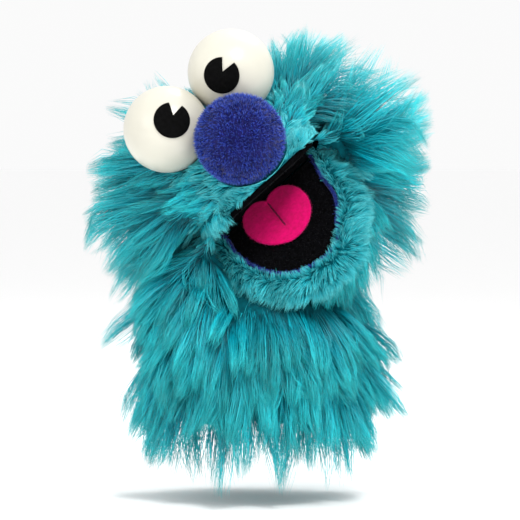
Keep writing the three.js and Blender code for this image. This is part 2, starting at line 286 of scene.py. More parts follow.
def plastic_material(name, dark, light):
    """Satin plastic with faint handling marks."""
    material, tree, surface = shader(name, 0.3, 0.5)
    colour = ramp(tree, noise(tree, 45), [(0.3, dark), (0.7, light)])
    tree.links.new(colour, surface.inputs["Base Color"])
    put(surface, Coat_Weight=0.15, Coat_Roughness=0.25)
    bump(tree, surface, noise(tree, 260, 2.0), 0.12, 0.0001)
    return material


# Fibres: colours from root to tip, the dark roots painted shade, roughness, specular, spread of their shades
LONG_FUR = hair_material(
    "long_fur", (0, 0.06, 0.09), (0.001, 0.56, 0.70), (0.05, 0.96, 1.0), 0.34, 0.42, 0.66)
SHORT_FUR = hair_material(
    "short_fur", (0, 0.20, 0.27), (0.02, 0.74, 0.86), (0.20, 0.96, 1.0), 0.45, 0.3, 0.5)
BLUE_PILE = hair_material(
    "blue_pile", (0, 0.001, 0.06), (0.001, 0.013, 0.42), (0.14, 0.27, 1.0), 0.5, 0.25, 0.92)
BLACK_FUZZ = hair_material(
    "black_fuzz", (0.004, 0.004, 0.005), (0.008, 0.008, 0.010), (0.03, 0.03, 0.035), 0.8, 0.2, 0.5)
PINK_FUZZ = hair_material(
    "pink_fuzz", (0.45, 0, 0.10), (0.66, 0.004, 0.16), (0.85, 0.10, 0.35), 0.8, 0.2, 0.4)

# Cloths: dark and light colours, grain per metre, roughness, sheen, depth of the grain, specular, stretch
KNIT = cloth_material("knit_backing", (0.02, 0.16, 0.18), (0.05, 0.26, 0.29), 1400, stretch=(1, 1, 0.4))
# A dark cloth under the fur: its colour is painted shade, the backing as it looks in the fur's shadow
PAINTED_SHADE_CLOTH = cloth_material("painted_shade_cloth", (0, 0.05, 0.065), (0, 0.10, 0.125), 900, sheen=0)
BLACK_FELT = cloth_material(
    "black_felt_cloth", (0.001,) * 3, (0.004, 0.004, 0.005), 1800, 1, 0, specular=0.01)
NOSE_CLOTH = cloth_material("nose_cloth", (0.004, 0.004, 0.05), (0.012, 0.012, 0.14), 1500)
TONGUE_FELT = cloth_material("tongue_felt_cloth", (0.60, 0, 0.10), (0.76, 0, 0.15), 1600, sheen=0.1)
CARD = cloth_material(
    "grey_card", (0.22, 0.19, 0.15), (0.33, 0.29, 0.24), 700, 0.85, 0, 0.0001, stretch=(1, 0.3, 1))
FOAM = cloth_material("cream_foam", (0.48, 0.44, 0.34), (0.66, 0.62, 0.50), 1100, 0.95, 0.1, 0.0006)
ELASTIC = cloth_material(
    "black_elastic", (0.008, 0.008, 0.010), (0.025, 0.025, 0.03), 1300, 0.7, 0.2, 0.0004,
    stretch=(0.3, 1.5, 1))
PUPIL_FELT = cloth_material("pupil_felt", (0.001,) * 3, (0.003,) * 3, 1500, 1, 0, 0.00005)
THREAD = cloth_material("tongue_thread", (0.10, 0, 0.03), (0.22, 0, 0.06), 3000, 0.7, 0.1)
IVORY = plastic_material("ivory_plastic", (0.58, 0.56, 0.48), (0.63, 0.61, 0.52))


# Meshes

def smooth_object(name, mesh, material):
    """A mesh as a smooth object of one material."""
    mesh.polygons.foreach_set("use_smooth", [True] * len(mesh.polygons))
    mesh.materials.append(material)
    made = bpy.data.objects.new(name, mesh)
    scene.collection.objects.link(made)
    return made


def mesh_object(name, points, faces, material):
    """An object from points in millimetres and lists of corners."""
    mesh = bpy.data.meshes.new(name)
    mesh.from_pydata([tuple(p) for p in np.asarray(points) * MM], [], faces)
    mesh.update()
    return smooth_object(name, mesh, material)


def grid_faces(rows, columns, closed):
    """Corners of the faces between rows of points. A closed grid joins its last column to its first."""
    last = columns if closed else columns - 1
    return [
        (r * columns + c, r * columns + (c + 1) % columns,
         (r + 1) * columns + (c + 1) % columns, (r + 1) * columns + c)
        for r in range(rows - 1) for c in range(last)
    ]


def ball_points(radius, rows, columns, pole=0.001):
    """A ball's points, from pole to pole along the third axis, starting at a small angle from it."""
    polar = np.linspace(pole, math.pi - pole, rows)
    around = circle(columns)
    return radius * np.stack([
        np.outer(np.sin(polar), np.cos(around)),
        np.outer(np.sin(polar), np.sin(around)),
        np.outer(np.cos(polar), np.ones(columns)),
    ], axis=-1).reshape(-1, 3)


def bowl(turn, width):
    """Directions on a bowl below the fold: turn goes from the front round below, width from side to side."""
    rest = np.sqrt(np.maximum(0, 1 - width ** 2))
    return np.stack([width, -np.cos(turn) * rest, -np.sin(turn) * rest], axis=-1)


def finish(piece, motion, *nodes):
    """The piece rides on a body; a piece that would bend between two is only baked in place. It stands for
    its CAD nodes.
    """
    if isinstance(motion, str):
        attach(piece, motion)
    else:
        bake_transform(piece)
    if nodes:
        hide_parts(*nodes)


def make_piece(name, motion, points, faces, material, *nodes):
    """A finished piece from points in the jaw's axes if it rides there, else in the head's."""
    axes = JAW if motion == "jaw" else HEAD
    finish(mesh_object(name, to_world(points, axes), faces, material), motion, *nodes)


def last_row(rows, columns):
    """The face that closes the last row."""
    return tuple((rows - 1) * columns + c for c in range(columns))


# Fibres

SIDES = 3  # of a fibre
SHADES = 48  # the fibres' own shades, as columns of the colour map


def hair_object(name, lines, width, shade, material):
    """Three-sided tapering fibres down the given centre lines, each ending in a point."""
    count, rings, _ = lines.shape
    body = rings - 1
    tangent = unit(np.gradient(lines, axis=1))
    across = unit(np.cross(tangent, unit(random.normal(size=(count, 1, 3)))))
    other = np.cross(tangent, across)
    t = np.linspace(0, 1, rings)[:body]
    radius = (width[:, None] / 2) * (1 - 0.75 * t ** 1.6)
    turn = 2 * math.pi * np.arange(SIDES) / SIDES
    circle = (across[:, :body, None] * np.cos(turn)[None, None, :, None]
              + other[:, :body, None] * np.sin(turn)[None, None, :, None])
    rim = lines[:, :body, None] + circle * radius[:, :, None, None]
    points = np.concatenate([rim.reshape(count, body * SIDES, 3), lines[:, -1:]], axis=1)

    # One fibre's faces, then the same for them all
    per = body * SIDES + 1
    quads = grid_faces(body, SIDES, True)
    ends = [((body - 1) * SIDES + s, (body - 1) * SIDES + (s + 1) % SIDES, per - 1) for s in range(SIDES)]
    corners = np.array([c for face in quads + ends for c in face])
    starts = np.cumsum([0] + [len(face) for face in quads + ends])[:-1]
    loops = (corners[None] + (np.arange(count) * per)[:, None]).ravel()
    face_starts = (starts[None] + (np.arange(count) * len(corners))[:, None]).ravel()
    mesh = bpy.data.meshes.new(name)
    mesh.vertices.add(count * per)
    mesh.vertices.foreach_set("co", (points * MM).astype(np.float32).ravel())
    mesh.loops.add(len(loops))
    mesh.loops.foreach_set("vertex_index", loops.astype(np.int32))
    mesh.polygons.add(len(face_starts))
    mesh.polygons.foreach_set("loop_start", face_starts.astype(np.int32))
    mesh.update(calc_edges=True)

    # The colour map: v from root to tip, u the fibre's shade with a little width for each side
    column = (np.floor(np.clip(shade, 0, 0.999) * SHADES) + 0.5) / SHADES
    spread = np.array([-0.45, 0.0, 0.45]) / SHADES
    u_of = np.concatenate([np.tile(spread, body), [0.0]])
    v_of = np.concatenate([np.repeat(t, SIDES), [1.0]]) * 0.98 + 0.01
    u = column[:, None] + u_of[corners][None]
    v = np.broadcast_to(v_of[corners][None], u.shape)
    layer = mesh.uv_layers.new(name="OFBake")
    layer.data.foreach_set("uv", np.stack([u, v], axis=-1).astype(np.float32).ravel())
    return smooth_object(name, mesh, material)


def nearest_lead(roots, spacing):
    """For each root, the index of the root that leads its lock. Leads lie about spacing apart."""
    taken = {}
    for index in random.permutation(len(roots)):
        cell = tuple(np.floor(roots[index] / spacing).astype(int))
        taken.setdefault(cell, index)
    leads = np.array(sorted(taken.values()))
    tree = KDTree(len(leads))
    for place, index in enumerate(leads):
        tree.insert(roots[index], place)
    tree.balance()
    return leads[np.array([tree.find(root)[1] for root in roots])]


def hair_lines(roots, aim, length, droop, rings):
    """Points down each hair, which leaves along aim and bends towards the ground."""
    points = [roots]
    way = aim
    droop = np.broadcast_to(droop, len(roots))
    steps = rings - 1
    for step in range(steps):
        way = unit(way + DOWN * (droop * (step + 0.5) / steps)[:, None] / steps * 2)
        points.append(points[-1] + way * (length / steps)[:, None])
    return np.stack(points, axis=1)


def gather(lines, leads, strength, power):
    """Draws hairs to the one that leads their lock, most at the tips."""
    t = np.linspace(0, 1, lines.shape[1])
    pull = (strength * t ** power)[None, :, None]
    offset = (lines[:, :1] - lines[leads][:, :1]) * (1 - 0.85 * t)[None, :, None]
    return lines * (1 - pull) + (lines[leads] + offset) * pull


def curl(lines, length, leads):
    """Waves each hair a little, in step with the one that leads its lock."""
    count, rings, _ = lines.shape
    t = np.linspace(0, 1, rings)
    bend = length[:, None] * 0.035
    for axis in range(3):
        wave = np.sin(t[None] * 5 + random.uniform(0, 6, count)[leads][:, None])
        lines[:, :, axis] += bend * wave * (t ** 1.2)[None] * random.normal(size=(count, 1))
    return lines


# What hair keeps out of: the eyes, the nose, the mouth, and the space outside the puppet

def middle_of(node):
    """The middle of a CAD node's box."""
    low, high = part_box(node)
    return np.array(low + high) / 2 / MM


EYES = [middle_of("eye_ball_left"), middle_of("eye_ball_right")]
NOSE = middle_of("nose_cover")
BALLS = [(EYES[0], EYE_BALL + 0.6), (EYES[1], EYE_BALL + 0.6), (NOSE, NOSE_BALL + 2.6)]
CAD_LOW, CAD_HIGH = (np.array(corner) / MM for corner in cad_box)
HAIR_LOW = CAD_LOW - 0.03 * (CAD_HIGH - CAD_LOW) - FUR_MARGIN
HAIR_HIGH = CAD_HIGH + 0.03 * (CAD_HIGH - CAD_LOW) + FUR_MARGIN
HAIR_SOFT = 9.0  # hairs start to bend back this far inside the space


def keep_out(lines):
    """Moves hairs out of the eyes and the nose."""
    for middle, radius in BALLS:
        gap = lines - middle
        distance = np.linalg.norm(gap, axis=-1, keepdims=True)
        lines = np.where(distance < radius, middle + gap / np.maximum(distance, 1e-6) * radius, lines)
    return lines


def hold_back(lines):
    """Bends hair tips softly back inside the space that the fur may fill."""
    over = np.maximum(0, lines - (HAIR_HIGH - HAIR_SOFT))
    under = np.maximum(0, (HAIR_LOW + HAIR_SOFT) - lines)
    lines = lines - over + HAIR_SOFT * (1 - np.exp(-over / HAIR_SOFT))
    return lines + under - HAIR_SOFT * (1 - np.exp(-under / HAIR_SOFT))


def bezier(a, b, c, d, count):
    """Points along a cubic curve, without its last one."""
    t = np.linspace(0, 1, count, endpoint=False)[:, None]
    a, b, c, d = (np.array(p, float) for p in (a, b, c, d))
    return a * (1 - t) ** 3 + 3 * b * t * (1 - t) ** 2 + 3 * c * t ** 2 * (1 - t) + d * t ** 3


def half_mouth(grow, fold=2.6):
    """The mouth's edge, a rounded D grown outwards, from the right end of the fold to the front."""
    wide = MOUTH_WIDE + grow
    deep = MOUTH_DEEP + grow
    straight = np.linspace([wide, -fold], [wide, -deep * 0.38], 8, endpoint=False)
    curve = bezier((wide, -deep * 0.38), (wide, -deep * 0.78), (wide * 0.62, -deep), (0, -deep), 24)
    return np.concatenate([straight, curve, [[0, -deep]]])


def mouth_edge(grow, fold=2.6):
    """The mouth's edge from the right end of the fold round the front to the left end."""
    half = half_mouth(grow, fold)
    return np.concatenate([half, half[-2::-1] * [-1, 1]])


FELT_EDGE = half_mouth(0)


def reach_into_mouth(lines):
    """How far each hair reaches in between the two felts, from their edge."""
    side, back, up = np.moveaxis(to_head(lines), -1, 0)
    half = np.interp(np.hypot(back, up), -FELT_EDGE[:, 1], FELT_EDGE[:, 0], right=0)
    turn = np.arctan2(-up, -back)
    between = (turn > -0.03) & (turn < MOUTH_OPEN + 0.02)
    return np.where(between, half - np.abs(side), 0).max(axis=1)


# Fur

def fur(name, roots, aim, length, droop, material, rings=5, width=PILE_WIDTH, locks=(2.6, 8.0),
        tight=(0.72, 0.72), overhang=MOUTH_OVERHANG):
    """A piece of fur: loose hairs, drawn into small locks and those into larger ones."""
    count = len(roots)
    small = nearest_lead(roots, locks[0])
    large = nearest_lead(roots, locks[1])
    sway = random.normal(size=(count, 3))
    aim = unit(aim + 0.10 * sway[small] + 0.16 * sway[large] + 0.05 * random.normal(size=(count, 3)))
    away = np.linalg.norm(roots - roots[small], axis=1) / locks[0]
    own = random.uniform(0.80, 1.12, count)
    length = length * (1 - 0.16 * np.clip(away, 0, 1)) * (0.3 * own + 0.7 * own[large])
    lines = hair_lines(roots, aim, length, droop, rings)
    lines = gather(lines, small, tight[0], 1.3)
    lines = gather(lines, large, tight[1], 2.0)
    lines = hold_back(keep_out(curl(lines, length, small)))
    shade = 0.5 + 0.22 * ripple(roots, 14, 5)
    shade += 0.16 * random.normal(size=count)[small] + 0.10 * random.normal(size=count)
    widths = width * random.uniform(0.75, 1.2, count)
    clear = reach_into_mouth(lines) < overhang
    return hair_object(name, lines[clear], widths[clear], shade[clear], material)


def fuzz(name, body, roots, out, length, width, material, loose):
    """Short loose fibres that stand on a surface, about along out."""
    count = len(roots)
    aim = unit(out + loose * random.normal(size=(count, 3)))
    lines = hair_lines(roots, aim, length, 0.1, 3)
    shade = 0.55 + 0.25 * random.normal(size=count) + 0.15 * ripple(roots, 6, 61)
    finish(hair_object(name, lines, width * random.uniform(0.7, 1.2, count), shade, material), body)


# Sleeve. Angles go round it from the front, towards the right

CHIN_SIDE = 0.45  # the chin hangs over the sleeve at this angle
SIDE_SEAM = 1.62  # where the front fur meets the back fur
OUTSIDE_ROWS = 26
ROUND = 120  # points round the sleeve


def sleeve_top(angle):
    """The height of the sleeve's upper edge: low under the chin, high behind."""
    return SLEEVE_TOP - 18 * smooth(np.cos(angle - CHIN_SIDE), -0.5, 0.7)


def sleeve_point(angle, height, radius):
    """A point on the sleeve, whose hem waves a little and whose top draws in under the chin."""
    radius = radius - 15 * smooth(np.cos(angle - CHIN_SIDE), -0.1, 0.9) * smooth(height, 36, 62)
    radius = radius - 8 * smooth(height / sleeve_top(angle), 0.84, 1)
    low = 1 - smooth(height, 0, 30)
    wave = 1 + low * (0.035 * np.sin(3 * angle + 0.6) + 0.02 * np.sin(5 * angle + 2))
    drop = 1.5 * low * np.sin(4 * angle + 1)
    return np.stack([np.sin(angle) * radius * wave, -np.cos(angle) * radius * wave, height + drop], axis=-1)


def make_sleeve_cloth():
    """One tube of cloth: down the outside, round the hem's fold and up inside it."""
    angle = circle(ROUND)
    shares = np.linspace(1, 0.02, OUTSIDE_ROWS)
    rows = [sleeve_point(angle, sleeve_top(angle) * share, SLEEVE) for share in shares]
    middle = (SLEEVE + SLEEVE_INSIDE) / 2
    half = (SLEEVE - SLEEVE_INSIDE) / 2
    for turn in np.linspace(0.2, math.pi - 0.2, 5):
        below = np.full(ROUND, -math.sin(turn) * half)
        rows.append(sleeve_point(angle, below, middle + math.cos(turn) * half))
    for share in np.linspace(0.05, 1, 6):
        rows.append(sleeve_point(angle, np.full(ROUND, HEM * share), SLEEVE_INSIDE))
    points = np.concatenate(rows)
    points += unit(points * [1, 1, 0]) * (0.35 * ripple(points, 11, 2))[:, None]
    cloth = mesh_object("sleeve_cloth", points, grid_faces(len(rows), ROUND, True), KNIT)
    # The outside under the fur is painted dark as shade; the hem's fold and inside keep the knit's colour
    cloth.data.materials.append(PAINTED_SHADE_CLOTH)
    for face in cloth.data.polygons[:(OUTSIDE_ROWS - 1) * ROUND]:
        face.material_index = 1
    finish(cloth, TILT, "sleeve_backing", "hem_band")


def make_sleeve_fur(name, first, last, *nodes):
    """Long fur between two angles. Near the hem it is shorter, in uneven tufts."""
    count = int(7600 * (last - first) / 1.6)
    turn = random.uniform(first, last, count)
    height = sleeve_top(turn) * np.sqrt(random.uniform(0.0002, 1, count) ** 1.25)
    roots = sleeve_point(turn, height, SLEEVE - 0.4)
    out = np.stack([np.sin(turn), -np.cos(turn), np.zeros(count)], axis=-1)
    along = np.stack([np.cos(turn), np.sin(turn), np.zeros(count)], axis=-1)
    swirl = 0.20 * ripple(roots, 34, 11)
    lift = 0.30 + 0.22 * smooth(height, 0, 26) + 0.14 * ripple(roots, 26, 12) + 0.35 * smooth(height, 30, 60)
    aim = unit(DOWN + out * lift[:, None] + along * swirl[:, None])
    length = PILE * (0.96 + 0.08 * ripple(roots, 22, 13))
    length = length * (0.66 + 0.34 * smooth(ripple(roots, 15, 14), -0.5, 0.6))
    length = np.minimum(length, height + 41 - 15 * np.sin(turn) ** 2)
    finish(fur(name, roots, aim, length, 0.45, LONG_FUR), TILT, *nodes)


def make_side_seam(name, side):
    """The seam's allowance inside the sleeve: a strip whose free edges ruffle."""
    steps = 40
    half = 2.5
    height = np.linspace(HEM + 0.6, HEM + 22, steps)
    strip = []
    for across in np.linspace(-half, half, 7):
        ruffle = 0.45 * np.sin(height * 1.7 + across) * abs(across) / half
        radius = SLEEVE - 3.1 - 0.4 * np.cos(across) + ruffle
        strip.append(np.column_stack([side * radius, np.full(steps, across), height]))
    seam = mesh_object(name + "_cloth", np.concatenate(strip), grid_faces(7, steps, False), KNIT)
    finish(seam, "sleeve", name)


# Head

UPPER_CURVE = at_level(mouth_edge(3), LIP_LINE)
LOWER_CURVE = at_level(mouth_edge(8), -6.0) @ JAW @ HEAD.T
MOUTH_RIM = half_mouth(2.0)
HEAD_HAIRS = 64000
MOST_HAIRS = 9300  # in one piece of the head's fur
CAD_PANELS = {"fur_face": ["fur_upper_lip"], "fur_back": ["fur_back_left", "fur_back_right"]}


def skin_shape(directions):
    """The point of the head's cloth in each direction from its middle, in head axes."""
    points = directions * HEAD_SKIN + [0, HEAD_SKIN_BACK, 0]
    side, back, up = points.T
    # Beside the jaw, the cheeks fall back towards the corners of the mouth
    beside = (1 - smooth(np.abs(side), 32, 50)) * (1 - smooth(up, -2, 4))
    back = np.where(back < 0, back * (1 - 0.8 * beside), back)
    # The cloth draws in to the mouth's edge in front and to its corners at the sides
    turn = np.arctan2(np.abs(side), -back)
    rim_turn = np.arctan2(MOUTH_RIM[:, 0], -MOUTH_RIM[:, 1])
    rim = np.interp(turn, rim_turn[::-1], np.hypot(*MOUTH_RIM.T)[::-1])
    blend = 9 + 14 * (1 - smooth(turn, 0.9, 1.4)) * smooth(up, 2, 8)
    near = (1 - smooth(np.abs(up - LIP_LINE) / blend, 0.08, 1)) * (1 - smooth(back, -6, 20))
    scale = 1 + (rim / np.hypot(side, back) - 1) * near
    return np.stack([side * scale, back * scale, up], axis=-1)


def head_skin(directions):
    """Points of the head's cloth, and the outward normals there."""
    across = unit(np.cross(directions, [0.3, 0.5, 0.81]))
    along = np.cross(directions, across)
    step = 0.02
    points = skin_shape(directions)
    first = skin_shape(unit(directions + across * step)) - points
    second = skin_shape(unit(directions + along * step)) - points
    normals = unit(np.cross(first, second))
    inward = (normals * directions).sum(axis=1) < 0
    return points, np.where(inward[:, None], -normals, normals)


def features_distance(points):
    """How far head points are from the lips, the eyes and the nose."""
    world = to_world(points, HEAD)
    nearest = np.full(len(points), 1e9)
    for curve, growth in ((UPPER_CURVE, 1.0), (LOWER_CURVE, 1.7)):
        for edge in curve[::2]:
            nearest = np.minimum(nearest, np.linalg.norm(points - edge, axis=1) * growth)
    behind = 30 * smooth(points[:, 1], -24, -4)
    for middle, radius in BALLS:
        nearest = np.minimum(nearest, np.linalg.norm(world - middle, axis=1) - radius + behind)
    return nearest


def head_keeps(points):
    """True where the head's cloth has fur: not in the mouth, nor where the arm comes in."""
    side, back, up = points.T
    mouth = (np.abs(side) < MOUTH_WIDE + 4 + 5 * smooth(-up, 1, 9)) & (back < 3) & (up < LIP_LINE)
    world = to_world(points, HEAD)
    edge = sleeve_top(np.arctan2(world[:, 0], -world[:, 1])) - 8
    arm = (np.hypot(world[:, 0], world[:, 1]) < SLEEVE - 2) & (world[:, 2] < edge)
    return ~(mouth | arm)


def make_head_cloth():
    rows, columns = 72, 144
    points, normals = head_skin(ball_points(1, rows, columns, 0.02))
    kept = head_keeps(points)
    points = points - normals * 0.6 + normals * (0.5 * ripple(points, 12, 21))[:, None]
    faces = [f for f in grid_faces(rows, columns, True) if kept[list(f)].all()]
    # The head's cloth is painted dark: painted shade under the fur
    make_piece("head_cloth", NECK, points, faces, PAINTED_SHADE_CLOTH, "neck_backing")


def lie_of_head_fur(points, normals, distance):
    """How the head's fur lies: (aim in the row frame, length, droop)."""
    side, back, up = points.T
    world = to_world(points, HEAD)
    out = normals @ HEAD
    behind = smooth(back, -5, 40)
    # It flows out from the mouth in front and falls down the back
    outward = unit(points * [1, 0, 1]) @ HEAD * (1 - smooth(back, 0, 32))[:, None]
    away = BACK * 0.6 + outward
    away = away - (out * away).sum(axis=1)[:, None] * out
    swirl = np.cross(out, unit(away)) * (0.30 * ripple(world, 30, 31))[:, None]
    flow = unit(unit(away) + falling(out) * (0.22 + 1.5 * behind)[:, None] + swirl)
    # It is short at the face, grows longer away from it, and is combed flatter on the crown
    grown = smooth(distance, 2, 24)
    crown = smooth(up, 15, 35) * (1 - smooth(np.abs(side - 23), 13, 29))
    length = SHORT_PILE + (PILE - SHORT_PILE) * grown ** 1.15 * (1 - 0.58 * crown)
    length = length * (1 + 0.10 * ripple(world, 24, 32)) * (1 + 0.20 * smooth(side, 16, 42))
    # It stands out more on the right, where the lower cheek is spiky
    spiky = smooth(side, 18, 42) * (1 - smooth(up, 0, 22)) * grown
    lift = 0.42 + 0.26 * grown * (1 - 0.6 * behind) + 0.14 * ripple(world, 20, 33)
    lift = lift + 0.75 * smooth(side, 12, 42) * grown + 0.6 * spiky
    lift = lift * (0.2 + 0.8 * smooth((out * outward).sum(axis=1), -0.7, 0.0))
    droop = 0.10 + 0.35 * behind + 0.15 * smooth(-up, -10, 30) * (1 - spiky)
    return unit(flow + out * lift[:, None]), length, droop


def make_head_fur():
    points, normals = head_skin(random_directions(HEAD_HAIRS))
    distance = features_distance(points)
    keep = head_keeps(points) & (distance > -1.5)
    points, normals, distance = points[keep], normals[keep], distance[keep]
    aim, length, droop = lie_of_head_fur(points, normals, distance)
    world = to_world(points, HEAD)
    side, back, up = points.T
    face = distance < 7
    top = ~face & (up >= 22)
    front = ~face & (up < 22) & (back < 8)
    rear = ~face & (up < 22) & (back >= 8)
    groups = {  # the fur's name, and where it grows
        "fur_face": face,
        "fur_cheek_left": front & (side < 0),
        "fur_cheek_right": front & (side >= 0),
        "fur_crown_left": top & (side < 0),
        "fur_crown_right": top & (side >= 0),
        "fur_back": rear & (up >= -8),
        "fur_nape": rear & (up < -8),
    }
    for name, chosen in groups.items():
        place = np.flatnonzero(chosen)[:MOST_HAIRS]
        growth = (world[place], aim[place], length[place], droop[place])
        if name == "fur_face":
            hair = fur(name + "_hair", *growth, SHORT_FUR, rings=4, width=0.30, locks=(1.8, 5.0))
        else:
            hair = fur(name + "_hair", *growth, LONG_FUR, locks=(2.6, 8.5))
        finish(hair, NECK, *CAD_PANELS.get(name, [name]))


# Lips: rolls of short fur along the mouth's edge

def hanging(outline):
    """The lower felt's edge, hanging out at its left front."""
    side, back = outline.T
    hang = JAW_HANG * smooth(-back, 18, 44) * (1 - smooth(side, -8, 14))
    return outline - np.column_stack([0 * side, hang])


def leaned(outline):
    """The lower lip's edge, which also lies in over the felt at its right front and left corner."""
    side, back = outline.T
    lean = JAW_LEAN * smooth(side, 2, 22) * smooth(-back, 0, 26)
    corner = 2.5 * smooth(-side, 22, 29) * (1 - smooth(-back, 6, 16))
    return hanging(outline) + np.column_stack([corner - lean, lean])


def roll_points(outline, level, radius, around):
    """Points of a tube along an outline at a level: (points, their normals, the outline's outward ways)."""
    path = at_level(outline, level)
    outward = unit(np.cross(unit(np.gradient(path, axis=0)), ABOVE))
    front = len(path) // 2
    if outward[front] @ (path[front] - path.mean(axis=0)) < 0:
        outward = -outward
    turn = circle(around)
    normals = outward[:, None] * np.cos(turn)[None, :, None] + ABOVE * np.sin(turn)[None, :, None]
    return path[:, None] + normals * radius, normals, outward


def places_along(path, count):
    """Random places on a path: (the index before each, its share of the way to the next)."""
    place = random.uniform(0, len(path) - 1.001, count)
    index = place.astype(int)
    return index, (place - index)[:, None]


def upper_lip_growth(side, turn, out, along):
    """Which way the upper lip's hairs grow, whatever their turn, and their share of the short pile."""
    corner = smooth(-side, 22, 29)  # they hang over the mouth's left corner
    away = out * 0.5 + ABOVE + along
    away = away * (1 - corner)[:, None] + np.array([0.15, -0.3, -1.0]) * corner[:, None]
    return away, 0.7 * (1 - 0.6 * smooth(side, 21, 31) + 0.5 * corner)


def lower_lip_growth(side, turn, out, along):
    """The same for the lower lip, whatever the side. These hairs stand up beside the felt."""
    inner = smooth(turn, 1.2, 2.2)[:, None]
    away = out - 0.3 * ABOVE + along
    away = away * (1 - inner) + ABOVE * inner
    return away, 0.75 + 0.45 * np.clip(np.cos(turn), 0, 1)


def make_lip(name, body, outline, level, radius, count, turns, growth, *nodes):
    """A roll and its short fur, which grows between two turns round the roll."""
    axes = JAW if body == "jaw" else HEAD
    around = 14
    points, normals, outward = roll_points(outline, level, radius, around)
    flat = points.reshape(-1, 3)
    flat = flat + normals.reshape(-1, 3) * (0.4 * ripple(flat, 9, 41))[:, None]
    # The roll is painted dark: painted shade under its short fur
    make_piece(name + "_roll", body, flat, grid_faces(len(outline), around, True), PAINTED_SHADE_CLOTH, *nodes)
    path = at_level(outline, level)
    index, share = places_along(path, count)
    turn = turns[0] + (turns[1] - turns[0]) * random.random(count)
    spot = path[index] * (1 - share) + path[index + 1] * share
    out = unit(outward[index] * (1 - share) + outward[index + 1] * share)
    normal = out * np.cos(turn)[:, None] + ABOVE * np.sin(turn)[:, None]
    roots = to_world(spot + normal * (radius - 0.2), axes)
    along = unit(np.cross(out, ABOVE)) * (0.9 * ripple(spot, 26, 43))[:, None]
    away, size = growth(spot[:, 0], turn, out, along)
    aim = unit((unit(away) + normal * 0.6) @ axes)
    length = SHORT_PILE * size * random.uniform(0.7, 1.25, count)
    hair = fur(name + "_hair", roots, aim, length, 0.15, SHORT_FUR, rings=4, width=0.20, locks=(1.2, 5.0),
               tight=(0.35, 0.3), overhang=LIP_OVERHANG)
    finish(hair, body)


# Chin and throat

def bowl_grid(turns, widths):
    """Directions on a bowl, row by row, and the faces between them."""
    turn, width = np.meshgrid(turns, widths, indexing="ij")
    return bowl(turn, width).reshape(-1, 3), grid_faces(len(turns), len(widths), False)


def make_chin():
    turns = np.linspace(math.radians(3), math.radians(118), 30)
    shape, faces = bowl_grid(turns, np.sin(np.linspace(-1, 1, 60) * math.pi / 2))
    points = shape * CHIN_SKIN - [0, 0, CHIN_LOW]
    points += unit(shape / CHIN_SKIN) * (0.5 * ripple(points, 10, 51))[:, None]
    # The chin's cloth is painted dark: painted shade under its fur
    make_piece("chin_cloth", "jaw", points, faces, PAINTED_SHADE_CLOTH, "fur_chin")
    count = 8200
    turn = np.radians(random.uniform(8, 112, count))
    shape = bowl(turn, random.uniform(-1, 1, count))
    out = unit(shape / CHIN_SKIN) @ JAW
    roots = to_world(shape * CHIN_SKIN - [0, 0, CHIN_LOW + 0.2], JAW)
    outward = (shape * [1, 0.6, 0]) @ JAW
    aim = unit(unit(falling(out)) * 0.9 + out * 0.55 + outward * 0.5)
    length = 12 + 24 * smooth(np.degrees(turn), 12, 48) * random.uniform(0.85, 1.1, count)
    finish(fur("fur_chin_hair", roots, aim, length, 0.9, LONG_FUR, locks=(2.4, 7.0)), "jaw")


def make_throat():
    """Between the chin and the sleeve, under the chin's fur."""
    shape, faces = bowl_grid(np.radians(np.linspace(84, 140, 26)), np.linspace(-0.86, 0.86, 50))
    # The throat's cloth is painted dark: painted shade under the chin
    make_piece("throat_cloth", THROAT, shape * THROAT_SKIN, faces, PAINTED_SHADE_CLOTH)
    count = 5000
    turn = np.radians(random.uniform(84, 136, count))
    shape = bowl(turn, random.uniform(-0.84, 0.84, count))
    out = shape @ HEAD
    roots = to_world(shape * (THROAT_SKIN - 0.4), HEAD)
    aim = unit(unit(falling(out)) * 0.8 + out * 0.5 + [0, -0.5, 0])
    length = np.full(count, 34.0)
    finish(fur("fur_throat_hair", roots, aim, length, 0.8, LONG_FUR), THROAT, "fur_throat")


# Eyes and nose

PUPIL_CUT = math.radians(51) * 0.42  # half the angle of the pie cut


def make_eye(name, place, look, lean):
    """A ball and its pupil, which looks this much aside and up, with its cut leaning by some degrees."""
    ball = mesh_object(f"eye_{name}", place + ball_points(EYE_BALL, 48, 72), grid_faces(48, 72, True), IVORY)
    finish(ball, "head", f"eye_ball_{name}")

    # The pupil's outline on a flat plane: an arc, and two straight edges to the cut's inner point
    lean = math.radians(lean)
    cut = np.array([math.sin(lean), math.cos(lean)])
    arc = lean + np.linspace(PUPIL_CUT, 2 * math.pi - PUPIL_CUT, 60)
    rim = PUPIL * np.column_stack([np.sin(arc), np.cos(arc)])
    apex = 0.24 * PUPIL * cut
    outline = np.concatenate([
        np.linspace(apex, rim[0], 10, endpoint=False),
        rim,
        np.linspace(rim[-1], apex, 10, endpoint=False)[1:],
    ])

    # Rows of it, shrunk towards a point inside and raised off the ball
    facing = unit(np.array([look[0], -1.0, look[1]]))
    right = unit(np.cross(ABOVE, facing))
    up = np.cross(facing, right)
    inside = -0.25 * PUPIL * cut
    rows = []
    heights = [(1.0, 0.02), (1.0, 0.45), (0.985, 0.56), *[(s, 0.6) for s in np.linspace(0.95, 0.05, 12)]]
    for share, height in heights:
        flat = inside + (outline - inside) * share
        depth = np.sqrt(EYE_BALL ** 2 - (flat ** 2).sum(axis=1))
        rows.append(np.column_stack([flat, depth]) * (1 + height / EYE_BALL))
    local = np.concatenate(rows)
    points = local[:, :1] * right + local[:, 1:2] * up + local[:, 2:] * facing
    columns = len(outline)
    faces = grid_faces(len(rows), columns, True) + [last_row(len(rows), columns)]
    pupil = mesh_object(f"pupil_{name}_disc", place + points @ HEAD, faces, PUPIL_FELT)
    finish(pupil, "head", f"pupil_{name}")


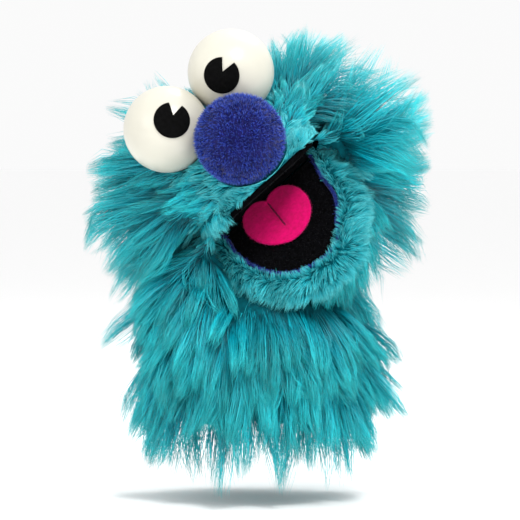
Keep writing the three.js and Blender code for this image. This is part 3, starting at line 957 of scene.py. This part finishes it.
def make_nose():
    points = ball_points(NOSE_BALL, 40, 60)
    points *= (1 + 0.012 * ripple(points, 9, 71))[:, None]
    cover = mesh_object("nose_pile_cloth", NOSE + points, grid_faces(40, 60, True), NOSE_CLOTH)
    finish(cover, "head", "nose_cover")
    count = 12000
    out = random_directions(count)
    length = random.uniform(1.3, 2.8, count)
    fuzz("nose_pile", "head", NOSE + out * (NOSE_BALL - 0.2), out, length, 0.36, BLUE_PILE, 0.40)


# Mouth

def make_felt(name, body, outline, bottom, top, material, inside, node, rings=14, shape=None):
    """A felt plate: an outline shrunk towards a point inside it, on both faces, with soft edges."""
    rough = 0.12
    edge_share, edge_width = 0.97, 0.03  # where the edge's rounding starts, and its width
    shares = [*np.linspace(0.04, edge_share, rings), 0.992, 1.0]
    middle = (bottom + top) / 2
    half = (top - bottom) / 2
    rows = []
    for face in (1, -1):
        for share in shares if face > 0 else shares[::-1]:
            edge = max(0.0, share - edge_share) / edge_width
            lift = half * math.sqrt(max(0.0, 1 - edge ** 2)) * face
            rows.append(at_level(inside + (outline - inside) * share, middle + lift))
    points = np.concatenate(rows)
    points[:, 2] += rough * (ripple(points, 9, 3) + 0.7 * ripple(points, 3, 4))
    points[:, :2] += 0.6 * rough * np.column_stack([ripple(points, 4, 8), ripple(points, 4, 9)])
    if shape is not None:
        points[:, 2] += shape(points[:, 0], points[:, 1])
    columns = len(outline)
    faces = grid_faces(len(rows), columns, True)
    faces += [tuple(range(columns))[::-1], last_row(len(rows), columns)]
    make_piece(name, body, points, faces, material, node)


def make_tube(name, body, outline, level, radius, material, reach, seed, *nodes):
    """A thin uneven tube along an outline."""
    around = 10
    points = roll_points(outline, level, radius, around)[0].reshape(-1, 3)
    points = points + wobble(points, 4, seed, reach)
    make_piece(name, body, points, grid_faces(len(outline), around, True), material, *nodes)


def make_felts():
    """The two felts, the upper one's turned edge and the fold between them, a channel open to the front."""
    inside = np.array([0.0, -18.0])
    make_felt("mouth_felt_upper_cloth", "head", mouth_edge(0), FELT_LOW, FELT_HIGH,
              BLACK_FELT, inside, "mouth_felt_upper")
    make_tube("mouth_felt_upper_edge", "head", mouth_edge(-0.3), 3.2, 1.4, BLACK_FELT, 0.15, 48)
    make_felt("mouth_felt_lower_cloth", "jaw", hanging(mouth_edge(0)), -FELT_HIGH, -FELT_LOW,
              BLACK_FELT, inside, "mouth_felt_lower")
    radius, steps, around = 2.0, 60, 16
    along = np.linspace(-MOUTH_WIDE + 1, MOUTH_WIDE - 1, steps)
    points = np.array([
        [side, -radius * math.cos(turn), radius * math.sin(turn)]
        for side in along for turn in np.linspace(-1.9, 1.9, around)])
    points += wobble(points, 5, 81, 0.15)
    faces = grid_faces(steps, around, False)
    make_piece("mouth_fold_cloth", "head", points, faces, BLACK_FELT, "mouth_fold_felt")


TONGUE_ASKEW = math.radians(-10)
TONGUE_SHIFT = (0.3, 2.2)


def askew(flat):
    """Points of the tongue turned in its plane."""
    c, s = math.cos(TONGUE_ASKEW), math.sin(TONGUE_ASKEW)
    return np.column_stack([flat[:, 0] * c - flat[:, 1] * s, flat[:, 0] * s + flat[:, 1] * c])


def tongue_outline():
    """A heart with its notch at the fold and its narrow end at the front."""
    wide, lobes, broad, tip = 16.4, -3.4, -15.0, -36.0
    notch = lobes - 4
    parts = [
        bezier((0, notch), (2.5, lobes), (wide * 0.9, lobes + 2), (wide, broad), 18),
        bezier((wide, broad), (wide * 1.08, broad - 12), (wide * 0.5, tip), (0, tip), 20),
        bezier((0, tip), (-wide * 0.5, tip), (-wide * 1.08, broad - 12), (-wide, broad), 20),
        bezier((-wide, broad), (-wide * 0.9, lobes + 2), (-2.5, lobes), (0, notch), 18),
    ]
    return askew(np.concatenate(parts)) + TONGUE_SHIFT


def tongue_lift(back):
    """The tongue is glued at the fold and rises a little from the felt towards its tip."""
    return 0.03 * np.maximum(-6 - back, 0)


def tongue_shape(side, back):
    """The tongue's stitched groove, its slightly raised lobes and its lift."""
    lift = tongue_lift(back)
    # Turned back straight: mirrored, turned and mirrored again
    straight = askew(np.column_stack([side - TONGUE_SHIFT[0], TONGUE_SHIFT[1] - back])) * [1, -1]
    side, back = straight.T
    inside = smooth(back, -28, -24) * (1 - smooth(back, -10, -7))
    groove = -0.75 * np.exp(-(side / 1.3) ** 2) * inside
    lobes = 0.9 * np.exp(-((np.abs(side) - 7) / 5) ** 2) * smooth(back, -34, -14)
    return groove + lobes + lift


def make_tongue():
    inside = np.array([-3.0, -18.0])
    make_felt("tongue_cloth", "jaw", tongue_outline(), -1.1, 0.2,
              TONGUE_FELT, inside, "tongue", 22, tongue_shape)
    steps, around, radius = 60, 8, 0.34
    rope = np.array([
        [0.09 * math.sin(y * 2.2) + radius * math.cos(a), y,
         -0.3 + 0.12 * math.cos(y * 3.1) + radius * math.sin(a)]
        for y in np.linspace(-27, -8.5, steps) for a in circle(around)])
    rope[:, :2] = askew(rope[:, :2]) + TONGUE_SHIFT
    rope[:, 2] += tongue_lift(rope[:, 1])
    faces = grid_faces(steps, around, True)
    make_piece("tongue_stitches", "jaw", rope, faces, THREAD, "tongue_crease_thread")


def make_lint():
    """Lint on the felts, and fibres at the tongue's cut edge."""
    count = 2600
    straight = 19  # the felt's sides are straight for this depth
    plates = (("mouth_fuzz_upper", "head", HEAD, -1), ("mouth_fuzz_lower", "jaw", JAW, 1))
    for name, body, axes, face in plates:
        side = random.uniform(-MOUTH_WIDE, MOUTH_WIDE, count)
        back = random.uniform(-MOUTH_DEEP, -3, count)
        bulge = (side / MOUTH_WIDE) ** 2 + (np.minimum(0, back + straight) / (MOUTH_DEEP - straight)) ** 2
        inside = (np.abs(side) < MOUTH_WIDE - 1) & (bulge < 0.97)
        roots = to_world(at_level(np.column_stack([side, back])[inside], -face * FELT_LOW), axes)
        length = random.uniform(0.5, 1.3, len(roots))
        fuzz(name, body, roots, 0.5 * face * ABOVE @ axes, length, 0.12, BLACK_FUZZ, 0.6)
    count = 1500
    edge = tongue_outline()
    spots = edge[random.integers(0, len(edge), count)] + random.normal(0, 0.25, (count, 2))
    height = random.uniform(-1.0, 0.2, count) + tongue_lift(spots[:, 1])
    roots = to_world(np.column_stack([spots, height]), JAW)
    length = random.uniform(0.4, 0.9, count)
    fuzz("tongue_fuzz", "jaw", roots, 0.3 * ABOVE @ JAW, length, 0.10, PINK_FUZZ, 0.8)


def make_lip_trim():
    """The blue edging of the lower lip: a thin tube and its pile."""
    edge = leaned(mouth_edge(0.6, 1.5))
    make_tube("lip_trim_cloth", "jaw", edge, -1.0, 0.9, NOSE_CLOTH, 0.2, 45, "lip_trim_lower")
    count = 3600
    path = leaned(mouth_edge(0.7))
    index, share = places_along(path, count)
    spots = path[index] * (1 - share) + path[index + 1] * share + random.normal(0, 0.4, (count, 2))
    roots = to_world(at_level(spots, -0.3), JAW)
    length = random.uniform(0.8, 1.9, count)
    fuzz("lip_trim_pile", "jaw", roots, 0.9 * ABOVE @ JAW, length, 0.2, BLUE_PILE, 0.6)


# Inner parts that keep the CAD's shape but are soft: remade with a worn, uneven surface

def soft_copy(node, body, material, voxel, reach, size):
    """A soft piece over a CAD node's own shape, remeshed at a voxel's size and made uneven."""
    made = frame["nodes"][node].copy()
    made.data = made.data.copy()
    made.name = node + "_soft"
    made.parent = None
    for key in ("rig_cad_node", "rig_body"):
        del made[key]
    scene.collection.objects.link(made)
    remesh = made.modifiers.new("even", "REMESH")
    remesh.mode = "VOXEL"
    remesh.voxel_size = voxel * MM
    graph = bpy.context.evaluated_depsgraph_get()
    mesh = bpy.data.meshes.new_from_object(made.evaluated_get(graph))
    made.modifiers.clear()
    made.data = mesh
    mesh.materials.clear()
    mesh.materials.append(material)
    places = np.zeros(len(mesh.vertices) * 3, np.float32)
    normals = np.zeros(len(mesh.vertices) * 3, np.float32)
    mesh.vertices.foreach_get("co", places)
    mesh.vertices.foreach_get("normal", normals)
    points = places.reshape(-1, 3) / MM
    points = points + normals.reshape(-1, 3) * (reach * ripple(points, size, 91))[:, None]
    mesh.vertices.foreach_set("co", (points * MM).astype(np.float32).ravel())
    mesh.update()
    mesh.polygons.foreach_set("use_smooth", [True] * len(mesh.polygons))
    finish(made, body, node)
    return made


def make_inner_parts():
    soft_copy("crown_foam", "head", FOAM, 1.4, 0.35, 5)
    soft_copy("nose_core", "head", FOAM, 1.4, 0.25, 5)
    for node in ("eye_seat_left", "eye_seat_right"):
        soft_copy(node, "head", FOAM, 0.5, 0.1, 4)
    soft_copy("nose_anchor_disc", "head", BLACK_FELT, 0.5, 0.08, 4)
    soft_copy("finger_strap", "head", ELASTIC, 0.5, 0.10, 6)
    soft_copy("thumb_strap", "jaw", ELASTIC, 0.5, 0.10, 6)
    for node in ("mouth_board_upper", "mouth_board_lower"):
        materials = frame["nodes"][node].data.materials
        materials.clear()
        materials.append(CARD)


make_sleeve_cloth()
make_sleeve_fur("fur_sleeve_front_left", -SIDE_SEAM, 0.0, "fur_sleeve_front")
make_sleeve_fur("fur_sleeve_front_right", 0.0, SIDE_SEAM)
make_sleeve_fur("fur_sleeve_back_right", SIDE_SEAM, math.pi, "fur_sleeve_back")
make_sleeve_fur("fur_sleeve_back_left", math.pi, 2 * math.pi - SIDE_SEAM)
make_side_seam("side_seam_left", -1)
make_side_seam("side_seam_right", 1)
make_head_cloth()
make_head_fur()
make_lip("upper_lip", "head", mouth_edge(2.0, 1.5), 6.4, 2.6, 6800, (-1.5, 2.3), upper_lip_growth)
make_lip("lower_lip", "jaw", leaned(mouth_edge(5.6, 1.5)), -4.6, LIP_ROLL, 12000, (2.5, -2.4),
         lower_lip_growth, "fur_lower_lip")
make_chin()
make_throat()
make_eye("left", EYES[0], (0.05, 0.063), 55.5)
make_eye("right", EYES[1], (-0.47, 0.078), 65)
make_nose()
make_felts()
make_tongue()
make_lint()
make_lip_trim()
make_inner_parts()


# Floor, light and camera, in metres

LAMPS = [  # (name, place, size, power)
    ("key", (0.30, -0.8, 1.05), 0.35, 10.0),
    ("side", (-0.9, -0.7, 0.5), 0.7, 2.2),
    ("rim", (0.3, 0.6, 1.0), 0.5, 6.0),
]
LIT_POINT = Vector((0, 0, 0.08))
CAMERA_TARGET = Vector((0.0014, 0, 0.0713))
CAMERA_DISTANCE = 1.6
CAMERA_RISE = math.radians(2)
PICTURE_WIDTH = 0.2439  # at the target
SENSOR = 36  # in sensor millimetres


def make_stage():
    scene.view_settings.view_transform = "Standard"
    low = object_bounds()[0].z
    bpy.ops.mesh.primitive_plane_add(size=60, location=(0, 0, low - 0.0005))
    floor = bpy.context.object
    floor.name = "floor"
    material, _, surface = shader("pale_floor", 0.9, 0.1)
    put(surface, Base_Color=(0.99, 0.99, 0.99, 1))
    floor.data.materials.append(material)
    world = bpy.data.worlds.new("studio")
    scene.world = world
    world.use_nodes = True
    put(world.node_tree.nodes["Background"], Color=(1.0, 1.0, 1.0, 1), Strength=0.96)
    for name, place, size, power in LAMPS:
        lamp = bpy.data.lights.new(name, "AREA")
        lamp.shape = "DISK"
        lamp.size = size
        lamp.energy = power
        holder = bpy.data.objects.new(name, lamp)
        holder.location = place
        holder.rotation_euler = (LIT_POINT - Vector(place)).to_track_quat("-Z", "Y").to_euler()
        scene.collection.objects.link(holder)
    camera = bpy.data.objects.new("camera", bpy.data.cameras.new("camera"))
    scene.collection.objects.link(camera)
    offset = Vector((0, -math.cos(CAMERA_RISE), math.sin(CAMERA_RISE))) * CAMERA_DISTANCE
    camera.location = CAMERA_TARGET + offset
    camera.rotation_euler = (-offset).to_track_quat("-Z", "Y").to_euler()
    camera.data.sensor_width = SENSOR
    camera.data.lens = SENSOR * CAMERA_DISTANCE / PICTURE_WIDTH
    camera.data.clip_end = 20
    scene.camera = camera


make_stage()
